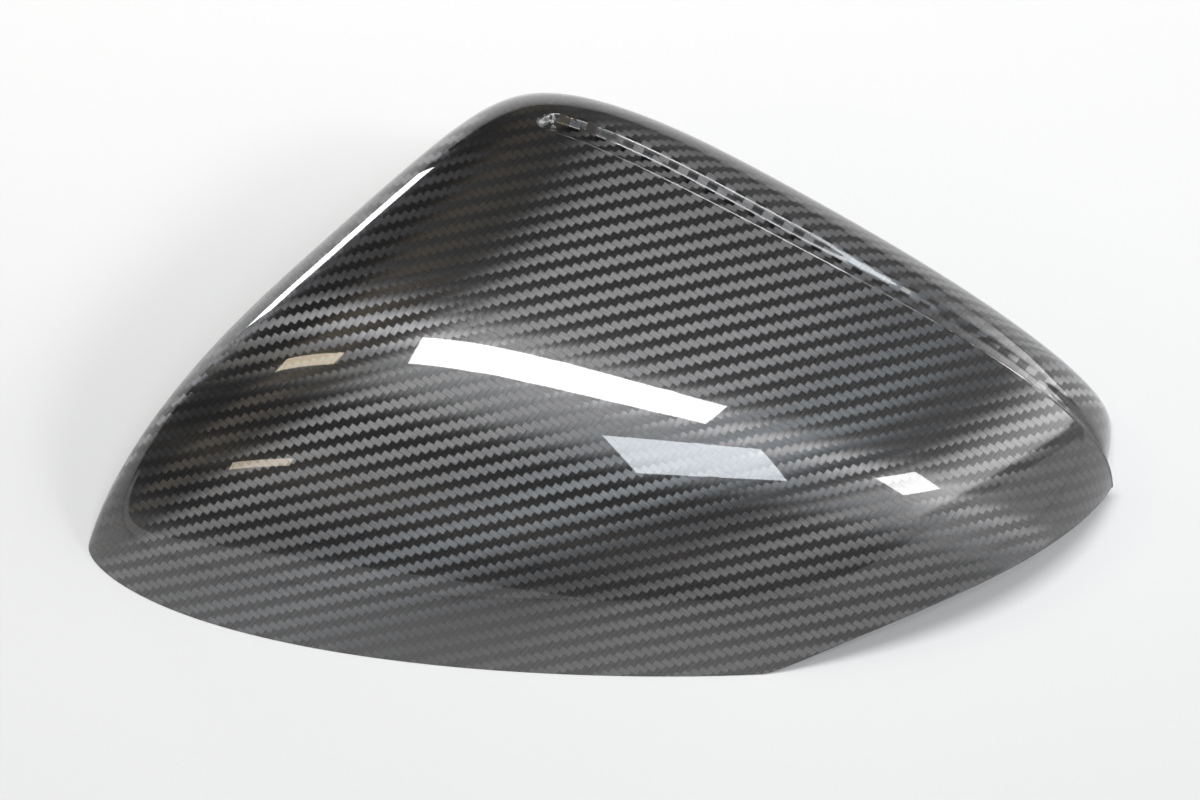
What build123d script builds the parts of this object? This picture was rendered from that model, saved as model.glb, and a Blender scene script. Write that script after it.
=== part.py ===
from build123d import *
import os
from math import copysign, cos, hypot, pi

# Wing mirror cover: one moulded carbon shell, open below, with a rolled lip and a water groove along its
# rear edge, and four snap clips bonded inside. Millimetres, +Z up, +X towards the car, +Y to the rear.
# The shell rests on its trimmed rim at Z = 0, with the middle of its box over the origin.

# Corners of the dome's base in plan, before they are rounded
TIP_X = -160.9
TIP_Y = -50.4
CREST_X = -22.6
CREST_Y = 90.9
DOOR_X = 152.2
DOOR_Y = -0.6
CHIN_X = 67.9
CHIN_Y = -89.3

# How far each side bows out from the straight line between its corners
FRONT_BOW = 13.5
REAR_BOW = -8.0
OUTER_BOW = -18.0
ARM_BOW = 16.5

# How much each corner is drawn in: 0 leaves it square, 1 gives a quarter circle
TIP_ROUND = 0.66
CREST_ROUND = 0.35
DOOR_ROUND = 0.25
CHIN_ROUND = 0.21

# Fullness of each wall: 2 is an ellipse, and a higher number has a squarer shoulder
FRONT_FULL = 2.42
FRONT_FULL_SWING = -0.09
REAR_FULL = 4.58
OUTER_FULL = 4.23
ARM_FULL = 4.34

# Crown over the middle of the base, and how it changes towards the sides
CROWN = 74.6
FALL_TO_DOOR = 17.8
RISE_TO_REAR = 15.2
TWIST = -7.8
SIDE_FALL = 12.0
EDGE_FALL = 12.0
TRIM_HEIGHT = 14.0

# Laminate, and how much deeper its inside lies by the rear shoulder than elsewhere
WALL = 2.2
SHOULDER_DEPTH = 6.0

# Water groove: its place across the dome, its closed end, its tapered section and the step down to the lip
GROOVE_ACROSS = 0.545
GROOVE_SWING = 0.16
GROOVE_START = -0.65
GROOVE_MOUTH = 4.5
GROOVE_FLOOR = 2.4
GROOVE_DEPTH = 1.6
GROOVE_SINK = 0.6
LIP_STEP = 2.4
LIP_OVERLAP = 0.6

# Relief in the rim that clears the mirror's arm
RELIEF_HEIGHT = 5.0
RELIEF_FROM = -0.84
RELIEF_TO = 0.5

# Snap clips
CLIP_WIDTH = 14.0
CLIP_THICK = 2.4
CLIP_STANDOFF = 7.0
CLIP_FOOT = 9.0
CLIP_LENGTH = 24.0
BARB = 2.2
BARB_HEIGHT = 6.0
CLIP_TOP_FRONT = 34.0
CLIP_TOP_REAR = 40.0
FRONT_CLIP_OUTER = -0.6
FRONT_CLIP_INNER = 0.35
REAR_CLIP_OUTER = -0.5
REAR_CLIP_INNER = 0.4

# How finely the skins and the groove are drawn, and how far cutting blocks reach past them
SURFACE_STEPS = 28
SURFACE_TOLERANCE = 0.03
GROOVE_STEPS = 12
ARCH_SAMPLES = 4000
NUDGE = 0.001
BLOCK_MARGIN = 40.0
BASE_OVERCUT = 2.0


def superellipse_side(across, fullness):
    """Height of a wall of unit height at a place across it, from 0 in the middle to 1 at the rim."""
    return max(0.0, 1.0 - abs(across) ** fullness) ** (1.0 / fullness)


def even_places(low_full, high_full, steps):
    """Places from -1 to 1 that are evenly spaced along the arch with these two walls."""
    run = [0.0]
    places = [-1.0]
    height = 0.0
    for i in range(1, ARCH_SAMPLES + 1):
        place = -cos(pi * i / ARCH_SAMPLES)
        full = low_full if place < 0 else high_full
        next_height = superellipse_side(place, full)
        run.append(run[-1] + hypot(place - places[-1], next_height - height))
        places.append(place)
        height = next_height
    even = []
    k = 0
    for i in range(steps + 1):
        goal = run[-1] * i / steps
        while k < ARCH_SAMPLES - 1 and run[k + 1] < goal:
            k += 1
        share = (goal - run[k]) / (run[k + 1] - run[k])
        even.append(places[k] + share * (places[k + 1] - places[k]))
    return even


def base_corners(front, crest_rear, door_rear, outer, arm):
    """Corners of the base with each side moved in; the rear side has its own amount at each end."""
    tip = Vector(TIP_X, TIP_Y)
    crest = Vector(CREST_X, CREST_Y)
    door = Vector(DOOR_X, DOOR_Y)
    chin = Vector(CHIN_X, CHIN_Y)

    def moved(start, end, at_start, at_end):
        inward = (end - start).normalized().rotate(Axis.Z, -90)
        return start + inward * at_start, end + inward * at_end

    def meeting(line_a, line_b):
        run_a = line_a[1] - line_a[0]
        run_b = line_b[1] - line_b[0]
        share = (line_b[0] - line_a[0]).cross(run_b).Z / run_a.cross(run_b).Z
        return line_a[0] + run_a * share

    outer_line = moved(tip, crest, outer, outer)
    rear_line = moved(crest, door, crest_rear, door_rear)
    arm_line = moved(door, chin, arm, arm)
    front_line = moved(chin, tip, front, front)
    return (
        meeting(front_line, outer_line),
        meeting(outer_line, rear_line),
        meeting(rear_line, arm_line),
        meeting(arm_line, front_line),
    )


def dome_point(along, across, corners, drop):
    """Point on a skin: along runs from the tip side to the door, across from the front to the rear.
    The skin spans the four base corners, and its crown is lowered by drop(along, across)."""
    side_full = OUTER_FULL if along < 0 else ARM_FULL
    swing = copysign(abs(along) ** (side_full / 2), along)
    cross_full = FRONT_FULL + FRONT_FULL_SWING * swing if across < 0 else REAR_FULL
    corner_round = (
        (1 - along) * (1 - across) * TIP_ROUND
        + (1 - along) * (1 + across) * CREST_ROUND
        + (1 + along) * (1 + across) * DOOR_ROUND
        + (1 + along) * (1 - across) * CHIN_ROUND
    ) / 4
    u = along * (1 - corner_round * across**2 / 2) ** 0.5
    v = across * (1 - corner_round * along**2 / 2) ** 0.5
    tip, crest, door, chin = corners
    plan = (
        tip * ((1 - u) * (1 - v) / 4)
        + crest * ((1 - u) * (1 + v) / 4)
        + door * ((1 + u) * (1 + v) / 4)
        + chin * ((1 + u) * (1 - v) / 4)
    )
    sides = (
        (chin, tip, FRONT_BOW * (1 - u**2) * (1 - v) / 2),
        (crest, door, REAR_BOW * (1 - u**2) * (1 + v) / 2),
        (tip, crest, OUTER_BOW * (1 - v**2) * (1 - u) / 2),
        (door, chin, ARM_BOW * (1 - v**2) * (1 + u) / 2),
    )
    for start, end, bow in sides:
        edge = (end - start).normalized()
        plan += Vector(-edge.Y, edge.X) * bow
    crown = (
        CROWN
        - FALL_TO_DOOR * along
        + RISE_TO_REAR * across
        + TWIST * along * across
        - SIDE_FALL * along**2
        - EDGE_FALL * across**2
        - drop(along, across)
    )
    height = crown * superellipse_side(along, side_full) * superellipse_side(across, cross_full)
    return plan + Vector(0, 0, height - TRIM_HEIGHT)


def no_drop(along, across):
    return 0.0


def lip_drop(along, across):
    """The lip starts a little above the dome's skin by the crest and ends a step below it by the door."""
    return (LIP_STEP + LIP_OVERLAP) * ((1 + along) / 2) ** 2 - LIP_OVERLAP


def inner_drop(along, across):
    """The inside follows the outside, and lies deeper under the groove and the lip."""
    return WALL + SHOULDER_DEPTH * max(0.0, across) ** 2 * (1 + along) / 2


OUTER_CORNERS = base_corners(0, 0, 0, 0, 0)
INNER_CORNERS = base_corners(WALL, WALL, WALL + LIP_STEP, WALL, WALL + LIP_STEP)
LIP_CORNERS = base_corners(-LIP_OVERLAP, -LIP_OVERLAP, LIP_STEP, -LIP_OVERLAP, LIP_STEP)


def dome(corners, drop, floor):
    """Solid under a skin, down to a floor height."""
    along_places = even_places(OUTER_FULL, ARM_FULL, SURFACE_STEPS)
    across_places = even_places(FRONT_FULL, REAR_FULL, SURFACE_STEPS)
    points = [
        [dome_point(along, across, corners, drop) for along in along_places]
        for across in across_places
    ]
    skin = Face.make_surface_from_array_of_points(points, tol=SURFACE_TOLERANCE, min_deg=3, max_deg=3)
    box = skin.bounding_box()
    block = Box(
        BLOCK_MARGIN + box.size.X,
        BLOCK_MARGIN + box.size.Y,
        BLOCK_MARGIN + box.max.Z - floor,
        align=(Align.CENTER, Align.CENTER, Align.MIN),
    )
    block = Pos(box.center().X, box.center().Y, floor) * block
    halves = split(block, bisect_by=skin, keep=Keep.BOTH)
    return halves.solids().sort_by(Axis.Z)[0]


def groove_line(along):
    """Point on the dome's skin at the groove, which swings to the rear at its closed end."""
    across = GROOVE_ACROSS + GROOVE_SWING * min(0.0, along) ** 2
    return dome_point(along, across, OUTER_CORNERS, no_drop)


def groove_frame(along):
    """Plane on the dome's skin at the groove: its X runs along the groove and its Z points out of the skin."""
    here = groove_line(along)
    along_run = groove_line(along + NUDGE) - here
    across_run = dome_point(along, GROOVE_ACROSS + NUDGE, OUTER_CORNERS, no_drop)
    across_run -= dome_point(along, GROOVE_ACROSS, OUTER_CORNERS, no_drop)
    return Plane(origin=here, x_dir=along_run, z_dir=along_run.cross(across_run))


def groove_cutters():
    """Cone for the groove's closed end, and a tapered cutter along it that sinks with the lip's step."""
    taper = (GROOVE_MOUTH - GROOVE_FLOOR) / 2 / GROOVE_DEPTH
    places = [p for p in even_places(OUTER_FULL, ARM_FULL, 2 * GROOVE_STEPS) if p > GROOVE_START]
    sections = []
    for along in [GROOVE_START, *places[:-1]]:
        low = -GROOVE_DEPTH - GROOVE_SINK * max(0.0, lip_drop(along, GROOVE_ACROSS))
        high = low + 2 * GROOVE_DEPTH
        narrow = GROOVE_FLOOR / 2
        wide = narrow + taper * (high - low)
        corners = [(0, -narrow, low), (0, narrow, low), (0, wide, high), (0, -wide, high)]
        frame = groove_frame(along)
        sections.append(Face(Wire.make_polygon([frame.from_local_coords(c) for c in corners])))
    end = Cone(
        GROOVE_FLOOR / 2,
        GROOVE_FLOOR / 2 + 2 * taper * GROOVE_DEPTH,
        2 * GROOVE_DEPTH,
        align=(Align.CENTER, Align.CENTER, Align.MIN),
    )
    return groove_frame(GROOVE_START) * Pos(0, 0, -GROOVE_DEPTH) * end, loft(sections)


def behind_groove():
    """Everything behind the groove, as a tall block whose front follows the groove in plan."""
    places = even_places(OUTER_FULL, ARM_FULL, GROOVE_STEPS)
    line = [groove_line(along) for along in places]
    front = [Vector(p.X, p.Y) for p in line]
    run_in = front[0] + (front[0] - front[1]).normalized() * BLOCK_MARGIN
    run_out = front[-1] + (front[-1] - front[-2]).normalized() * BLOCK_MARGIN
    rear = max(p.Y for p in front) + 2 * BLOCK_MARGIN
    curve = Spline(front)
    outline = Wire([
        Line(run_in, front[0]),
        curve,
        Line(front[-1], run_out),
        Line(run_out, (run_out.X, rear)),
        Line((run_out.X, rear), (run_in.X, rear)),
        Line((run_in.X, rear), run_in),
    ])
    tall = CROWN + 2 * BLOCK_MARGIN
    return Pos(0, 0, -TRIM_HEIGHT) * extrude(Face(outline), amount=tall, dir=(0, 0, 1))


def arm_relief():
    """Shallow arch out of the rim between the chin and the door, which clears the mirror's arm."""
    start = dome_point(1.0, RELIEF_FROM, OUTER_CORNERS, no_drop)
    end = dome_point(1.0, RELIEF_TO, OUTER_CORNERS, no_drop)
    start = Vector(start.X, start.Y, 0)
    end = Vector(end.X, end.Y, 0)
    top = (start + end) * 0.5 + Vector(0, 0, RELIEF_HEIGHT)
    arch = Face(Wire([ThreePointArc(start, top, end), Line(end, start)]))
    across = (end - start).cross(Vector(0, 0, 1)).normalized()
    return extrude(arch, amount=BLOCK_MARGIN, dir=across, both=True)


def snap_clip(along, side, top, cavity):
    """Snap clip bonded to the front or rear wall: a foot on the wall, a tongue below it and a barb."""
    across = 0.0
    while dome_point(along, across, INNER_CORNERS, inner_drop).Z > top:
        across += NUDGE * side
    wall = dome_point(along, across, INNER_CORNERS, inner_drop)
    beside = dome_point(along + NUDGE, across, INNER_CORNERS, inner_drop)
    run = Vector(beside.X - wall.X, beside.Y - wall.Y).normalized()
    inward = run.rotate(Axis.Z, -90 * side)
    seat = Plane(origin=(wall.X, wall.Y, top), x_dir=inward, z_dir=inward.cross(Vector(0, 0, 1)))
    far = CLIP_STANDOFF + CLIP_THICK
    low = -CLIP_LENGTH
    profile = Polyline(
        (-CLIP_FOOT, 0),
        (far, 0),
        (far, low + BARB_HEIGHT),
        (far + BARB, low + BARB_HEIGHT),
        (far, low),
        (CLIP_STANDOFF, low),
        (CLIP_STANDOFF, -CLIP_FOOT),
        (-CLIP_FOOT, -CLIP_FOOT),
        close=True,
    )
    clip = extrude(seat * make_face(profile), amount=CLIP_WIDTH / 2, both=True)
    return (clip & cavity).solids().sort_by(SortBy.VOLUME)[-1]


outer = dome(OUTER_CORNERS, no_drop, 0)
lip = dome(LIP_CORNERS, lip_drop, -BASE_OVERCUT)
inner = dome(INNER_CORNERS, inner_drop, -BASE_OVERCUT)
shell = outer - (behind_groove() - lip)
for cutter in groove_cutters():
    shell -= cutter
shell = shell - inner - arm_relief()

clips = {
    "front_clip_outer": snap_clip(FRONT_CLIP_OUTER, -1, CLIP_TOP_FRONT, inner),
    "front_clip_inner": snap_clip(FRONT_CLIP_INNER, -1, CLIP_TOP_FRONT, inner),
    "rear_clip_outer": snap_clip(REAR_CLIP_OUTER, 1, CLIP_TOP_REAR, inner),
    "rear_clip_inner": snap_clip(REAR_CLIP_INNER, 1, CLIP_TOP_REAR, inner),
}

middle = shell.bounding_box().center()
to_origin = Pos(-middle.X, -middle.Y, 0)
os.makedirs("parts", exist_ok=True)
for name, piece in {"carbon_shell": shell, **clips}.items():
    export_step(to_origin * piece, f"parts/{name}.step")
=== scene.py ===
import bpy
import numpy as np
from mathutils import Matrix, Vector


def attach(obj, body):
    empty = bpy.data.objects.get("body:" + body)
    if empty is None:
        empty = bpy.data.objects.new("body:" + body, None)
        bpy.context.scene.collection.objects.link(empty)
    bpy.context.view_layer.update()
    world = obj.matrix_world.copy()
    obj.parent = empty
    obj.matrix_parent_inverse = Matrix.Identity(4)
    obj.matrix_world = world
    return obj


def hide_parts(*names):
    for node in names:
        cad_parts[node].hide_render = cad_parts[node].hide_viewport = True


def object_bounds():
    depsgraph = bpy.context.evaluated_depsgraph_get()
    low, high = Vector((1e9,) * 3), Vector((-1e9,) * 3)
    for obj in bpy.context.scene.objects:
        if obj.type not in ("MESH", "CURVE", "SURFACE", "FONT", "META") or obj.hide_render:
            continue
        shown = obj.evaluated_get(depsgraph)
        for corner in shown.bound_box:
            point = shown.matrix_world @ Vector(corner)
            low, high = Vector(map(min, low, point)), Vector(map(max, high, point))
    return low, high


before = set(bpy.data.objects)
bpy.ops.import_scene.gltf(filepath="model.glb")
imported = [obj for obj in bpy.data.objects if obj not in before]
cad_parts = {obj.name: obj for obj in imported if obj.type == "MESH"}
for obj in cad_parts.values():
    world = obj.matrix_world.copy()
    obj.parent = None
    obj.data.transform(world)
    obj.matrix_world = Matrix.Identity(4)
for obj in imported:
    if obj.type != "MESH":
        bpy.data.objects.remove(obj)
cad_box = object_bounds()
scene = bpy.context.scene
scene.view_settings.view_transform = "Standard"

# Carbon shell: one moulded laminate, a domed quadrilateral with a squarer shoulder at the rear, trimmed flat
# at its rim. A water groove runs along the shoulder, and behind it the lip steps down towards the door.
# Sizes are in millimetres; along runs from the tip side to the door and across from the front to the rear.
wall = 2.2
shoulder_depth = 6.0
trim_height = 14.0
lip_step = 1.2
lip_inset = 3.4
lip_overlap = 0.6
lip_start = -0.6
lip_fade = 0.6
inner_step = 2.4

# How square the dome's arch is towards each side, how round each corner is, how far each side bows, and how
# the height of the crown changes over the dome.
tip_fullness = 4.23
door_fullness = 4.34
front_fullness = 2.42
front_change = 0.09
rear_fullness = 4.58
tip_rounding = 0.66
crest_rounding = 0.35
door_rounding = 0.25
chin_rounding = 0.21
front_bow = 13.5
rear_bow = -8.0
outer_bow = -18.0
arm_bow = 16.5
crown_height = 74.6
crown_fall_to_door = 17.8
crown_rise_to_rear = 15.2
crown_twist = 7.8
crown_bow = 12


def base_corners(front, crest_rear, door_rear, outer, arm):
    """Tip, crest, door and chin of the dome's base with each side moved in."""
    tip = np.array([-160.9, -50.4])
    crest = np.array([-22.6, 90.9])
    door = np.array([152.2, -0.6])
    chin = np.array([67.9, -89.3])

    def moved(start, end, at_start, at_end):
        run = (end - start) / np.linalg.norm(end - start)
        inward = np.array([run[1], -run[0]])
        return start + inward * at_start, end + inward * at_end

    def meeting(line_a, line_b):
        run_a = line_a[1] - line_a[0]
        run_b = line_b[1] - line_b[0]
        gap = line_b[0] - line_a[0]
        share = (gap[0] * run_b[1] - gap[1] * run_b[0]) / (run_a[0] * run_b[1] - run_a[1] * run_b[0])
        return line_a[0] + run_a * share

    outer_line = moved(tip, crest, outer, outer)
    rear_line = moved(crest, door, crest_rear, door_rear)
    arm_line = moved(door, chin, arm, arm)
    front_line = moved(chin, tip, front, front)
    return (
        meeting(front_line, outer_line),
        meeting(outer_line, rear_line),
        meeting(rear_line, arm_line),
        meeting(arm_line, front_line),
    )


def arch(place, fullness):
    """Height of an arch of unit height: 2 is an ellipse, and a higher fullness has a squarer shoulder."""
    return np.maximum(0.0, 1.0 - np.abs(place) ** fullness) ** (1.0 / fullness)


def dome(along, across, corners, drop):
    """Points of a domed skin over four corners, with its crown lowered by drop."""
    side_full = np.where(along < 0, tip_fullness, door_fullness)
    swing = np.copysign(np.abs(along) ** (side_full / 2), along)
    cross_full = np.where(across < 0, front_fullness - front_change * swing, rear_fullness)
    rounding = (
        (1 - along) * (1 - across) * tip_rounding
        + (1 - along) * (1 + across) * crest_rounding
        + (1 + along) * (1 + across) * door_rounding
        + (1 + along) * (1 - across) * chin_rounding
    ) / 4
    u = along * np.sqrt(1 - rounding * across**2 / 2)
    v = across * np.sqrt(1 - rounding * along**2 / 2)
    tip, crest, door, chin = corners
    plan = (
        ((1 - u) * (1 - v) / 4)[..., None] * tip
        + ((1 - u) * (1 + v) / 4)[..., None] * crest
        + ((1 + u) * (1 + v) / 4)[..., None] * door
        + ((1 + u) * (1 - v) / 4)[..., None] * chin
    )
    bows = (
        (chin, tip, front_bow * (1 - u**2) * (1 - v) / 2),
        (crest, door, rear_bow * (1 - u**2) * (1 + v) / 2),
        (tip, crest, outer_bow * (1 - v**2) * (1 - u) / 2),
        (door, chin, arm_bow * (1 - v**2) * (1 + u) / 2),
    )
    for start, end, bow in bows:
        run = (end - start) / np.linalg.norm(end - start)
        plan = plan + bow[..., None] * np.array([-run[1], run[0]])
    crown = crown_height - crown_fall_to_door * along + crown_rise_to_rear * across
    crown = crown - crown_twist * along * across - crown_bow * along**2 - crown_bow * across**2
    height = (crown - drop) * arch(along, side_full) * arch(across, cross_full) - trim_height
    return np.concatenate([plan, height[..., None]], axis=-1)


def ease(value):
    """Smooth step from 0 to 1."""
    value = np.clip(value, 0.0, 1.0)
    return value * value * (3 - 2 * value)


outer_corners = base_corners(0, 0, 0, 0, 0)
inner_corners = base_corners(wall, wall, wall + inner_step, wall, wall + inner_step)
lip_corners = base_corners(-lip_overlap, -lip_overlap, lip_step, -lip_overlap, lip_inset)


def main_skin(along, across):
    return dome(along, across, outer_corners, 0.0)


def lip_drop(along):
    return (lip_step + lip_overlap) * ((1 + along) / 2) ** 2 - lip_overlap


# The groove's front edge is a line along the dome at groove_across, turned a little. The widths and depths
# are measured along and into the skin.
groove_across = 0.569
groove_turn = -0.06
groove_start = -0.65
groove_wall = 0.8
groove_width = 8.1
groove_widening = 0.8
groove_depth = 2.3
groove_shallowing = 0.62
shallow_from = 0.1
shallow_over = 0.6
groove_ramp = 1.6
groove_drop = 0.6
drop_start = 0.3
drop_end = 1.5
floor_soft = 0.35
ramp_soft = 0.22
bead_height = 0.26
bead_width = 0.28
round_end_ramp = 1.6
round_end_across = 0.1


def groove_distance(along, across):
    """Distance behind the dome's edge along the skin, positive towards the lip."""
    nudge = 1e-5
    line = groove_across + groove_turn * along
    here = main_skin(along, line)
    run = main_skin(along - nudge, line - groove_turn * nudge) - here
    run /= np.linalg.norm(run, axis=-1, keepdims=True)
    side = (main_skin(along, line + nudge) - here) / nudge
    side -= run * (side * run).sum(-1, keepdims=True)
    return (across - line) * np.linalg.norm(side, axis=-1)


def outer_skin(along, across):
    """The dome in front of the groove, and the lip behind it."""
    main = main_skin(along, across)
    lip = dome(along, across, lip_corners, lip_drop(along))
    behind = ease(groove_distance(along, across) / groove_wall)
    share = behind * ease((along - lip_start) / lip_fade)
    return main + (lip - main) * share[..., None]


def inner_skin(along, across):
    deeper = shoulder_depth * np.maximum(0.0, across) ** 2 * (1 + along) / 2
    return dome(along, across, inner_corners, wall + deeper)


relief_height = 15.0
relief_round = 1.4
relief_door_fade = 6.0
relief_along = np.array([0.81, 1.0])
relief_across = np.array([-0.94, 0.78])
relief_ends = main_skin(relief_along, relief_across)[:, :2]
relief_width = np.linalg.norm(relief_ends[1] - relief_ends[0])
relief_radius = (relief_width**2 / 4 + relief_height**2) / (2 * relief_height)


def rim_height(points):
    """Height of the trimmed rim: flat, with an arch from chin to door that clears the mirror's arm."""
    run = (relief_ends[1] - relief_ends[0]) / relief_width
    offset = points[..., :2] - relief_ends.mean(axis=0)
    place = offset @ run
    out = offset @ np.array([run[1], -run[0]])
    rise = np.sqrt(np.maximum(0.0, relief_radius**2 - place**2)) - relief_radius + relief_height
    rise = np.hypot(rise, relief_round) - relief_round
    share = np.where(place < 0, out > 0, ease(out / relief_door_fade))
    return np.where(np.abs(place) < relief_width / 2, rise * share, 0.0)


def arch_places(low_full, high_full, spread, count):
    """Places from -1 to 1, evenly spaced along an arch from rim to rim."""
    rim_level = 0.2
    fine = -np.cos(np.linspace(0, np.pi, 20001))
    height = arch(fine, np.where(fine < 0, low_full, high_full))
    fine, height = fine[height > rim_level], height[height > rim_level]
    run = np.concatenate([[0.0], np.cumsum(np.hypot(np.diff(fine) * spread, np.diff(height)))])
    places = np.interp(np.linspace(0, run[-1], count), run, fine)
    return np.where(places < 0, places / -places[0], places / places[-1])


# The mesh's lines are even over the dome, and closer together at the groove, its edge and its round end.
length_to_height = 1.8
width_to_height = 1.1
even_columns = arch_places(tip_fullness, door_fullness, length_to_height, 231)
start_columns = np.linspace(-0.02, 0.08, 27)
start_middle = 0.03
start_half = 0.055
away_from_start = np.abs(even_columns - groove_start - start_middle) > start_half
columns = np.sort(np.concatenate([even_columns[away_from_start], groove_start + start_columns]))
even_rows = arch_places(front_fullness, rear_fullness, width_to_height, 95)
groove_rows = np.linspace(-0.03, 0.13, 81)
edge_rows = np.linspace(-0.0075, 0.0195, 28)
groove_middle = 0.05
groove_half = 0.084
away_from_groove = np.abs(even_rows - groove_across - groove_middle) > groove_half
by_groove = groove_across + np.concatenate([groove_rows, edge_rows])
rows = np.sort(np.concatenate([even_rows[away_from_groove], by_groove]))
column, row = np.meshgrid(columns, rows)
row = row + groove_turn * column * (1 - row**2) / (1 - groove_across**2)


def trimmed(skin):
    """Places on a skin for the grid, drawn in so that the grid's border lies on the rim."""
    reach = np.maximum(np.abs(column), np.abs(row))
    reach[reach == 0] = 1.0
    low = np.full(column.shape, 0.5)
    high = np.ones(column.shape)
    for _ in range(40):
        middle = (low + high) / 2
        points = skin(column / reach * middle, row / reach * middle)
        above = points[..., 2] > rim_height(points)
        low = np.where(above, middle, low)
        high = np.where(above, high, middle)
    return column * low, row * low


def soft_rise(value, start, end, soft):
    """Rise from 0 at start to 1 at end, straight between two rounded turns."""
    ramps = np.logaddexp(0.0, (value - start) / soft) - np.logaddexp(0.0, (value - end) / soft)
    return soft * ramps / (end - start)


along, across = trimmed(outer_skin)
cloth_skin = main_skin(along, across)
outer = outer_skin(along, across)
normals = np.cross(np.gradient(outer, axis=1), np.gradient(outer, axis=0))
normals /= np.linalg.norm(normals, axis=-1, keepdims=True)

# Behind a fine bead on the dome's edge the groove drops, slopes down to the rear, then turns up a steep ramp
# to the lip. It starts with a round end and gets shallower towards the door.
from_edge = groove_distance(along, across)
mouth_end = groove_width + groove_widening * np.maximum(0.0, along)
floor_end = mouth_end - groove_ramp
sunk = groove_drop * soft_rise(from_edge, drop_start, drop_end, floor_soft)
sunk += (1 - groove_drop) * soft_rise(from_edge, drop_end, floor_end, floor_soft)
depth = groove_depth * (1 - groove_shallowing * ease((along - shallow_from) / shallow_over)) * sunk
depth *= 1 - soft_rise(from_edge, floor_end, mouth_end, ramp_soft)
depth -= bead_height * np.exp(-((from_edge / bead_width) ** 2))
start_step = 0.01
start_along = np.array([groove_start, groove_start + start_step])
start_line = main_skin(start_along, np.full(2, groove_across + round_end_across))
from_start = (along - groove_start) * np.linalg.norm(start_line[1] - start_line[0]) / start_step
half_mouth = mouth_end / 2
round_end = half_mouth * (1 - np.sqrt((1 - (from_edge / half_mouth - 1) ** 2).clip(0.0)))
depth *= ease((from_start - round_end) / round_end_ramp)
outer -= normals * depth[..., None]
inner = inner_skin(*trimmed(inner_skin))

# The formula has its own origin in plan, so the skins are shifted to where the solid lies.
shift = outer.reshape(-1, 3).min(axis=0) - np.array(cad_box[0]) * 1000
shift[2] = 0.0
outer -= shift
inner -= shift
cloth_skin -= shift

row_count, column_count = column.shape
index = np.arange(row_count * column_count).reshape(row_count, column_count)
quads = np.stack([index[:-1, :-1], index[:-1, 1:], index[1:, 1:], index[1:, :-1]], axis=-1).reshape(-1, 4)
border = np.concatenate([index[0, :-1], index[:-1, -1], index[-1, :0:-1], index[:0:-1, 0]])
following = np.roll(border, -1)
inner_start = index.size
rim = np.stack([border, border + inner_start, following + inner_start, following], axis=-1)
faces = np.concatenate([quads, quads[:, ::-1] + inner_start, rim])
points = np.concatenate([outer.reshape(-1, 3), inner.reshape(-1, 3)]) * 0.001
shell_mesh = bpy.data.meshes.new("carbon_shell_skin")
shell_mesh.from_pydata(points.tolist(), [], faces.tolist())
shell_mesh.shade_smooth()
shell_mesh.polygons.foreach_set("material_index", np.repeat([0, 1, 1], [len(quads), len(quads), len(rim)]))
edge_ends = np.zeros(len(shell_mesh.edges) * 2, dtype=np.int32)
shell_mesh.edges.foreach_get("vertices", edge_ends)
edge_ends = np.sort(edge_ends.reshape(-1, 2), axis=1)
rim_edges = np.sort(np.stack([border, following], axis=-1), axis=1)
rim_edges = {tuple(pair) for pair in np.concatenate([rim_edges, rim_edges + inner_start]).tolist()}
sharp = [tuple(pair) in rim_edges for pair in edge_ends.tolist()]
shell_mesh.attributes.new("sharp_edge", "BOOLEAN", "EDGE").data.foreach_set("value", sharp)

# The carbon cloth is pressed onto the dome from in front and above, so from there its tows run straight.
# Where the skin is steeper than least_spread allows, the cloth takes up more and more of the skin's length.
tow_pitch = 1.46
first_angle = np.radians(59.0)
second_angle = np.radians(-36.0)
press_angle = np.radians(49.5)
least_spread = 0.55


def cloth_run(step, length):
    """Length of cloth on a stretch of skin that is step long as pressed."""
    share = np.clip(step / length, 0.0, 1.0)
    return length * np.maximum(share, 1 - share * (1 - least_spread) / least_spread)


x, y, z = np.moveaxis(cloth_skin, -1, 0)
sideways = cloth_run(np.diff(x, axis=1), np.hypot(np.diff(x, axis=1), np.diff(z, axis=1)))
sideways = np.concatenate([x[:, :1], sideways], axis=1).cumsum(axis=1)
sideways += (x - sideways)[:, [column_count // 2]]
pressed = y * np.sin(press_angle) + z * np.cos(press_angle)
upward = cloth_run(np.diff(pressed, axis=0), np.hypot(np.diff(y, axis=0), np.diff(z, axis=0)))
upward = np.concatenate([pressed[:1], upward]).cumsum(axis=0)
upward += (pressed - upward)[[row_count // 2]]
first = (sideways * np.cos(first_angle) + upward * np.sin(first_angle)) / tow_pitch
second = (sideways * np.cos(second_angle) + upward * np.sin(second_angle)) / tow_pitch
tows = np.stack([first, second], axis=-1).reshape(-1, 2)
tows = np.concatenate([tows, tows])
corner_points = np.zeros(len(shell_mesh.loops), dtype=np.int32)
shell_mesh.loops.foreach_get("vertex_index", corner_points)
shell_mesh.uv_layers.new(name="tows").data.foreach_set("uv", tows[corner_points].ravel())

twill = bpy.data.materials.new("carbon_twill_gloss")
twill.use_nodes = True
nodes = twill.node_tree.nodes
wires = twill.node_tree.links
gloss = nodes["Principled BSDF"]
tows_in_repeat = 4
# Painted sheen: the second family of tows is given a lighter tone than the first, standing in for the
# brighter sheen its tows catch.
first_tone = 0.108
second_tone_with_painted_sheen = 0.158
bow_share = 0.6
crown_share = 0.4
fibre_streak = 0.4
fibre_fineness = 9.0
family_gap = 31.7
fibre_range = 0.9
fibre_least = 0.55
# Painted shade: these two darken each tow's colour towards its edges, as a rounded strand shades.
tow_edge_shade_range = 0.2
tow_edge_shade_least = 0.8
blue_tint = 1.02


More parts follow.
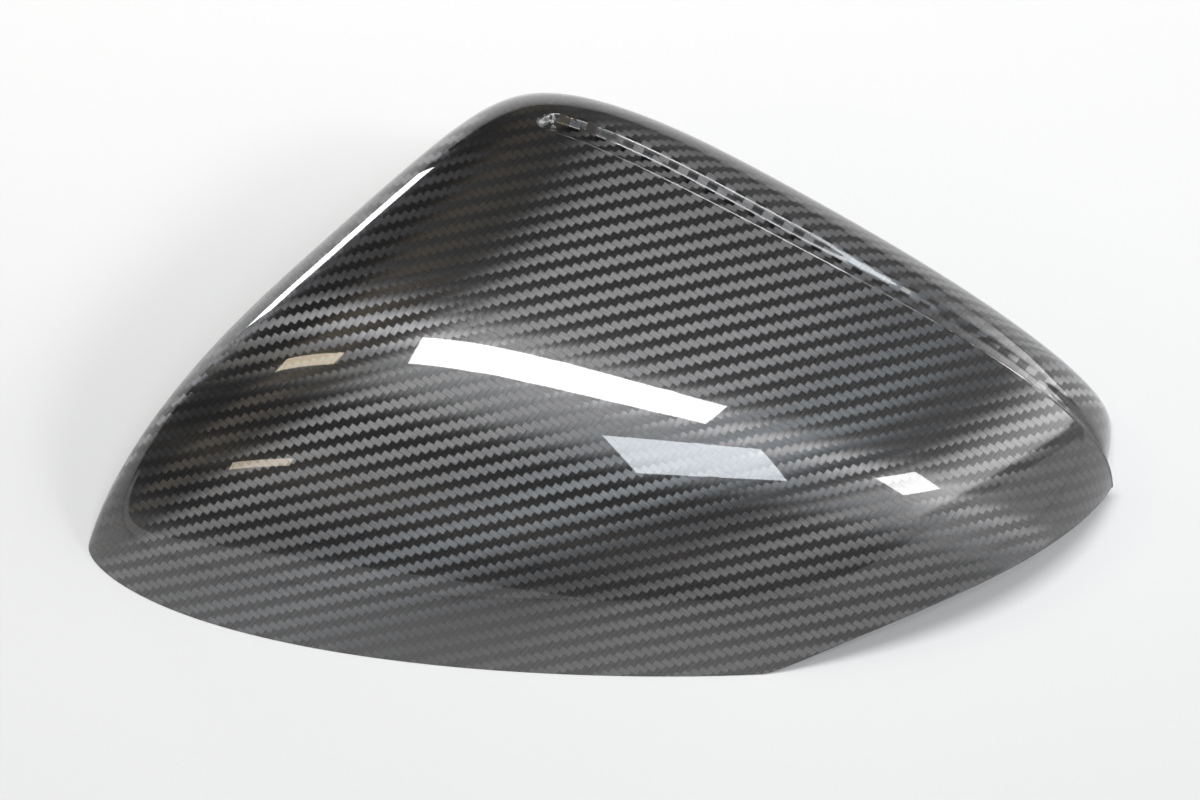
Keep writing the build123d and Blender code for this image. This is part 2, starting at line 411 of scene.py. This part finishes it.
def maths_in(tree):
    """Functions that add sums to one node tree."""

    def sum_node(operation, *inputs):
        """Math node fed by numbers and other nodes' outputs."""
        node = tree.nodes.new("ShaderNodeMath")
        node.operation = operation
        for socket, value in zip(node.inputs, inputs):
            if isinstance(value, (int, float)):
                socket.default_value = value
            else:
                tree.links.new(value, socket)
        return node.outputs[0]

    def either(choice, if_not, if_so):
        """One of two values."""
        change = sum_node("SUBTRACT", if_so, if_not)
        return sum_node("MULTIPLY_ADD", change, choice, if_not)

    return sum_node, either


sum_node, either = maths_in(twill.node_tree)
uv = nodes.new("ShaderNodeUVMap")
uv.uv_map = "tows"
split = nodes.new("ShaderNodeSeparateXYZ")
wires.new(uv.outputs[0], split.inputs[0])
s, t = split.outputs[0], split.outputs[1]
s_tow = sum_node("FLOOR", s)
t_tow = sum_node("FLOOR", t)
phase = sum_node("FLOORED_MODULO", sum_node("SUBTRACT", s_tow, t_tow), tows_in_repeat)
first_up = sum_node("LESS_THAN", phase, 1.5)
first_place = sum_node("FLOORED_MODULO", sum_node("SUBTRACT", s, t_tow), tows_in_repeat)
first_place = sum_node("DIVIDE", first_place, 2)
second_place = sum_node("FLOORED_MODULO", sum_node("SUBTRACT", t, s_tow), tows_in_repeat)
second_place = sum_node("SUBTRACT", sum_node("DIVIDE", second_place, 2), 0.5)
place = either(first_up, second_place, first_place)
width = either(first_up, sum_node("FRACT", s), sum_node("FRACT", t))
from_middle = sum_node("MULTIPLY_ADD", place, 2, -1)
bow = sum_node("SUBTRACT", 1, sum_node("MULTIPLY", from_middle, from_middle))
from_centre = sum_node("MULTIPLY_ADD", width, 2, -1)
crown = sum_node("SUBTRACT", 1, sum_node("POWER", sum_node("ABSOLUTE", from_centre), 4))
tow_height = sum_node("MULTIPLY_ADD", bow, bow_share, sum_node("MULTIPLY", crown, crown_share))
fibre_at = nodes.new("ShaderNodeCombineXYZ")
wires.new(sum_node("MULTIPLY", either(first_up, t, s), fibre_streak), fibre_at.inputs[0])
wires.new(sum_node("MULTIPLY", either(first_up, s, t), fibre_fineness), fibre_at.inputs[1])
wires.new(sum_node("MULTIPLY", first_up, family_gap), fibre_at.inputs[2])
fibres = nodes.new("ShaderNodeTexNoise")
fibres.inputs["Scale"].default_value = 1.0
fibres.inputs["Detail"].default_value = 2.0
wires.new(fibre_at.outputs[0], fibres.inputs["Vector"])
# Painted sheen: the second family's lighter tone stands in for its sheen.
tone = either(first_up, second_tone_with_painted_sheen, first_tone)
tone = sum_node("MULTIPLY", tone, sum_node("MULTIPLY_ADD", fibres.outputs["Fac"], fibre_range, fibre_least))
# Painted shade: the tone falls off towards each tow's edges.
tone = sum_node("MULTIPLY", tone, sum_node("MULTIPLY_ADD", crown, tow_edge_shade_range, tow_edge_shade_least))
grey = nodes.new("ShaderNodeCombineColor")
wires.new(tone, grey.inputs[0])
wires.new(tone, grey.inputs[1])
wires.new(sum_node("MULTIPLY", tone, blue_tint), grey.inputs[2])
wires.new(grey.outputs[0], gloss.inputs["Base Color"])
bump = nodes.new("ShaderNodeBump")
bump.inputs["Strength"].default_value = 0.15
bump.inputs["Distance"].default_value = 0.0002
wires.new(tow_height, bump.inputs["Height"])
wires.new(bump.outputs[0], gloss.inputs["Normal"])
tangent = nodes.new("ShaderNodeTangent")
tangent.direction_type = "UV_MAP"
tangent.uv_map = "tows"
wires.new(tangent.outputs[0], gloss.inputs["Tangent"])
wires.new(sum_node("MULTIPLY", first_up, 0.25), gloss.inputs["Anisotropic Rotation"])
gloss.inputs["Metallic"].default_value = 1.0
gloss.inputs["Anisotropic"].default_value = 1.0
gloss.inputs["Roughness"].default_value = 0.42
gloss.inputs["Specular Tint"].default_value = (0.45, 0.45, 0.46, 1)
gloss.inputs["Coat Weight"].default_value = 1.0
gloss.inputs["Coat Roughness"].default_value = 0.015
gloss.inputs["Coat IOR"].default_value = 1.5

# The inside is the same cloth with the dull, slightly rough face that the vacuum bag leaves.
inside = bpy.data.materials.new("carbon_inside_matte")
inside.use_nodes = True
inside_nodes = inside.node_tree.nodes
dull = inside_nodes["Principled BSDF"]
peel = inside_nodes.new("ShaderNodeTexNoise")
peel.inputs["Scale"].default_value = 900.0
peel_place = inside_nodes.new("ShaderNodeTexCoord")
inside.node_tree.links.new(peel_place.outputs["Object"], peel.inputs["Vector"])
peel_bump = inside_nodes.new("ShaderNodeBump")
peel_bump.inputs["Strength"].default_value = 0.4
peel_bump.inputs["Distance"].default_value = 0.0002
inside.node_tree.links.new(peel.outputs["Fac"], peel_bump.inputs["Height"])
inside.node_tree.links.new(peel_bump.outputs[0], dull.inputs["Normal"])
peel_tone = inside_nodes.new("ShaderNodeValToRGB")
peel_tone.color_ramp.elements[0].color = (0.018, 0.018, 0.019, 1)
peel_tone.color_ramp.elements[1].color = (0.045, 0.045, 0.047, 1)
inside.node_tree.links.new(peel.outputs["Fac"], peel_tone.inputs["Fac"])
inside.node_tree.links.new(peel_tone.outputs[0], dull.inputs["Base Color"])
dull.inputs["Roughness"].default_value = 0.6

shell = bpy.data.objects.new("carbon_shell_skin", shell_mesh)
scene.collection.objects.link(shell)
shell_mesh.materials.append(twill)
shell_mesh.materials.append(inside)
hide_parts("carbon_shell")
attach(shell, "root")

# Snap clips: four black nylon mouldings bonded inside the shell, each a foot on the wall with a tongue and a
# barb below it. Nylon has a fine spark-eroded grain and a soft sheen.
nylon = bpy.data.materials.new("clip_nylon")
nylon.use_nodes = True
nylon_nodes = nylon.node_tree.nodes
grain = nylon_nodes.new("ShaderNodeTexNoise")
grain.inputs["Scale"].default_value = 2500.0
grain_place = nylon_nodes.new("ShaderNodeTexCoord")
nylon.node_tree.links.new(grain_place.outputs["Object"], grain.inputs["Vector"])
grain_tone = nylon_nodes.new("ShaderNodeValToRGB")
grain_tone.color_ramp.elements[0].color = (0.012, 0.012, 0.013, 1)
grain_tone.color_ramp.elements[1].color = (0.03, 0.03, 0.032, 1)
nylon.node_tree.links.new(grain.outputs["Fac"], grain_tone.inputs["Fac"])
nylon.node_tree.links.new(grain_tone.outputs[0], nylon_nodes["Principled BSDF"].inputs["Base Color"])
grain_bump = nylon_nodes.new("ShaderNodeBump")
grain_bump.inputs["Strength"].default_value = 0.3
grain_bump.inputs["Distance"].default_value = 0.0001
nylon.node_tree.links.new(grain.outputs["Fac"], grain_bump.inputs["Height"])
nylon.node_tree.links.new(grain_bump.outputs[0], nylon_nodes["Principled BSDF"].inputs["Normal"])
nylon_nodes["Principled BSDF"].inputs["Roughness"].default_value = 0.5
for name in ("front_clip_outer", "front_clip_inner", "rear_clip_outer", "rear_clip_inner"):
    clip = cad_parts[name]
    clip.data.materials.clear()
    clip.data.materials.append(nylon)

# Studio floor: a plain pale sheet with painted shade that darkens it towards the front, standing in for light
# that falls mostly at the back. It isn't part of the cover.
# It lies a hair below the rim so that the two don't share a plane.
floor_half = 3
floor_gap = 0.0002
floor_corners = [(-floor_half, -floor_half, 0), (floor_half, -floor_half, 0)]
floor_corners += [(floor_half, floor_half, 0), (-floor_half, floor_half, 0)]
floor_mesh = bpy.data.meshes.new("studio_floor")
floor_mesh.from_pydata(floor_corners, [], [(0, 1, 2, 3)])
floor = bpy.data.objects.new("studio_floor", floor_mesh)
floor.location.z = -floor_gap
scene.collection.objects.link(floor)
pale = bpy.data.materials.new("pale_floor")
pale.use_nodes = True
pale_nodes = pale.node_tree.nodes
pale_surface = pale_nodes["Principled BSDF"]
pale_place = pale_nodes.new("ShaderNodeTexCoord")
pale_split = pale_nodes.new("ShaderNodeSeparateXYZ")
pale.node_tree.links.new(pale_place.outputs["Object"], pale_split.inputs[0])
# Painted shade: the floor's colour darkens from back to front in place of the fall of the light.
painted_shade_fade = pale_nodes.new("ShaderNodeMapRange")
painted_shade_fade.inputs["From Min"].default_value = -0.25
painted_shade_fade.inputs["From Max"].default_value = 0.2
pale.node_tree.links.new(pale_split.outputs[1], painted_shade_fade.inputs["Value"])
painted_shade_tone = pale_nodes.new("ShaderNodeValToRGB")
painted_shade_tone.color_ramp.elements[0].color = (0.57, 0.57, 0.575, 1)
painted_shade_tone.color_ramp.elements[1].color = (0.855, 0.855, 0.855, 1)
pale.node_tree.links.new(painted_shade_fade.outputs[0], painted_shade_tone.inputs["Fac"])
pale.node_tree.links.new(painted_shade_tone.outputs[0], pale_surface.inputs["Base Color"])
pale_surface.inputs["Roughness"].default_value = 0.9
pale_surface.inputs["Specular IOR Level"].default_value = 0.1
floor_mesh.materials.append(pale)

# Surroundings: a dim studio, white low down in front and at the sides, as if the floor curved up there. Above
# that the front is a little lighter than the rest, and at the right a soft white glow lies over a dark gap.
white_level = -0.055
right_rise = 0.412
right_turn = -0.957
left_rise = 0.75
left_bend = -0.66
white_strength = 0.95
glow_strength = 4.6
front_strength = 0.17
dim_strength = 0.05
dim_rise = 0.05
room = bpy.data.worlds.new("room")
room.use_nodes = True
nodes = room.node_tree.nodes
wires = room.node_tree.links
sum_node, either = maths_in(room.node_tree)
towards = nodes.new("ShaderNodeTexCoord")
split = nodes.new("ShaderNodeSeparateXYZ")
wires.new(towards.outputs["Generated"], split.inputs[0])
right, back, up = split.outputs[0], split.outputs[1], split.outputs[2]


def soft_step(value, low, high):
    """Smooth change from 0 at low to 1 at high."""
    node = nodes.new("ShaderNodeMapRange")
    node.interpolation_type = "SMOOTHSTEP"
    node.inputs["From Min"].default_value = low
    node.inputs["From Max"].default_value = high
    wires.new(value, node.inputs["Value"])
    return node.outputs[0]


rightward = sum_node("MAXIMUM", right, 0)
leftward = sum_node("MAXIMUM", sum_node("MULTIPLY", right, -1), 0)
right_slope = sum_node("MULTIPLY_ADD", back, right_turn, right_rise)
at_right = sum_node("MULTIPLY", sum_node("POWER", rightward, 2), right_slope)
left_slope = sum_node("MULTIPLY_ADD", leftward, left_bend, left_rise)
at_left = sum_node("MULTIPLY", leftward, left_slope)
white_top = sum_node("ADD", sum_node("ADD", at_right, at_left), white_level)
above_white = sum_node("SUBTRACT", up, white_top)
white_share = sum_node("MULTIPLY", soft_step(above_white, 0.012, 0.0), soft_step(back, 0.35, 0.25))
glow = sum_node("MULTIPLY", soft_step(above_white, 0.11, 0.16), soft_step(above_white, 0.55, 0.2))
glow = sum_node("MULTIPLY", glow, soft_step(right, 0.5, 0.75))
dim = sum_node("MULTIPLY_ADD", soft_step(up, 0.2, 0.95), dim_rise, dim_strength)
front_light = sum_node("MULTIPLY", soft_step(above_white, 0.1, 0.25), soft_step(above_white, 0.75, 0.45))
front_light = sum_node("MULTIPLY", front_light, soft_step(back, -0.3, -0.6))
dim = sum_node("MULTIPLY_ADD", front_light, front_strength, dim)
brightness = either(white_share, dim, white_strength)
brightness = sum_node("ADD", brightness, sum_node("MULTIPLY", glow, glow_strength))
wires.new(brightness, nodes["Background"].inputs["Strength"])
nodes["Background"].inputs["Color"].default_value = (1.0, 0.99, 0.98, 1)
scene.world = room

# Lamps: soft rectangles. The one overhead faces straight down and the others face the cover. A row gives the
# middle, the direction of the long side, the length, the width, the radiance and the colour.
for name, centre, long_side, length, width, radiance, colour in (
    ("overhead_lamp", (-0.08, -0.21, 1.5), (0.95, -0.31, 0), 0.89, 0.26, 21.5, (1.0, 1.0, 1.0)),
    ("front_lamp", (0.31, -1.11, 1.67), (1.0, 0.1, 0.1), 0.6, 0.5, 12.5, (0.88, 0.95, 1.0)),
    ("right_lamp", (1.24, -0.9, 1.32), (0.5, 0.6, -0.1), 0.34, 0.3, 17.0, (1.0, 1.0, 1.0)),
    ("left_rear_lamp", (-1.09, 1.68, 0.16), (1.0, 0.65, 0), 0.55, 0.28, 12.0, (0.97, 0.98, 1.0)),
    ("left_high_strip", (-1.24, 0.15, 1.59), (0.65, -0.52, 0.56), 0.55, 0.14, 10.0, (1.0, 0.85, 0.62)),
    ("left_low_strip", (-1.39, -0.93, 1.13), (0.71, -0.58, 0.39), 0.46, 0.08, 8.0, (1.0, 0.85, 0.65)),
):
    lamp = bpy.data.lights.new(name, "AREA")
    lamp.shape = "RECTANGLE"
    lamp.size = length
    lamp.size_y = width
    lamp.color = colour
    lamp.energy = radiance * np.pi * length * width
    holder = bpy.data.objects.new(name, lamp)
    scene.collection.objects.link(holder)
    holder.location = centre
    backward = Vector((0, 0, 1)) if name == "overhead_lamp" else Vector(centre).normalized()
    sideward = Vector(long_side) - backward * backward.dot(Vector(long_side))
    sideward.normalize()
    turned = Matrix((sideward, backward.cross(sideward), backward)).transposed()
    holder.rotation_euler = turned.to_euler()

# Camera: the photograph looks down at the dome from the front, from a little under a metre away.
elevation = np.radians(49.46)
camera_distance = 0.95
aim = np.array([7.22, 0.0, 1.45])
target = Vector(aim - shift) * 0.001
view = bpy.data.cameras.new("camera")
view.sensor_width = 36.0
view.lens = 109.44
camera = bpy.data.objects.new("camera", view)
scene.collection.objects.link(camera)
camera.location = target + Vector((0, -np.cos(elevation), np.sin(elevation))) * camera_distance
camera.rotation_euler = (np.pi / 2 - elevation, 0, 0)
scene.camera = camera
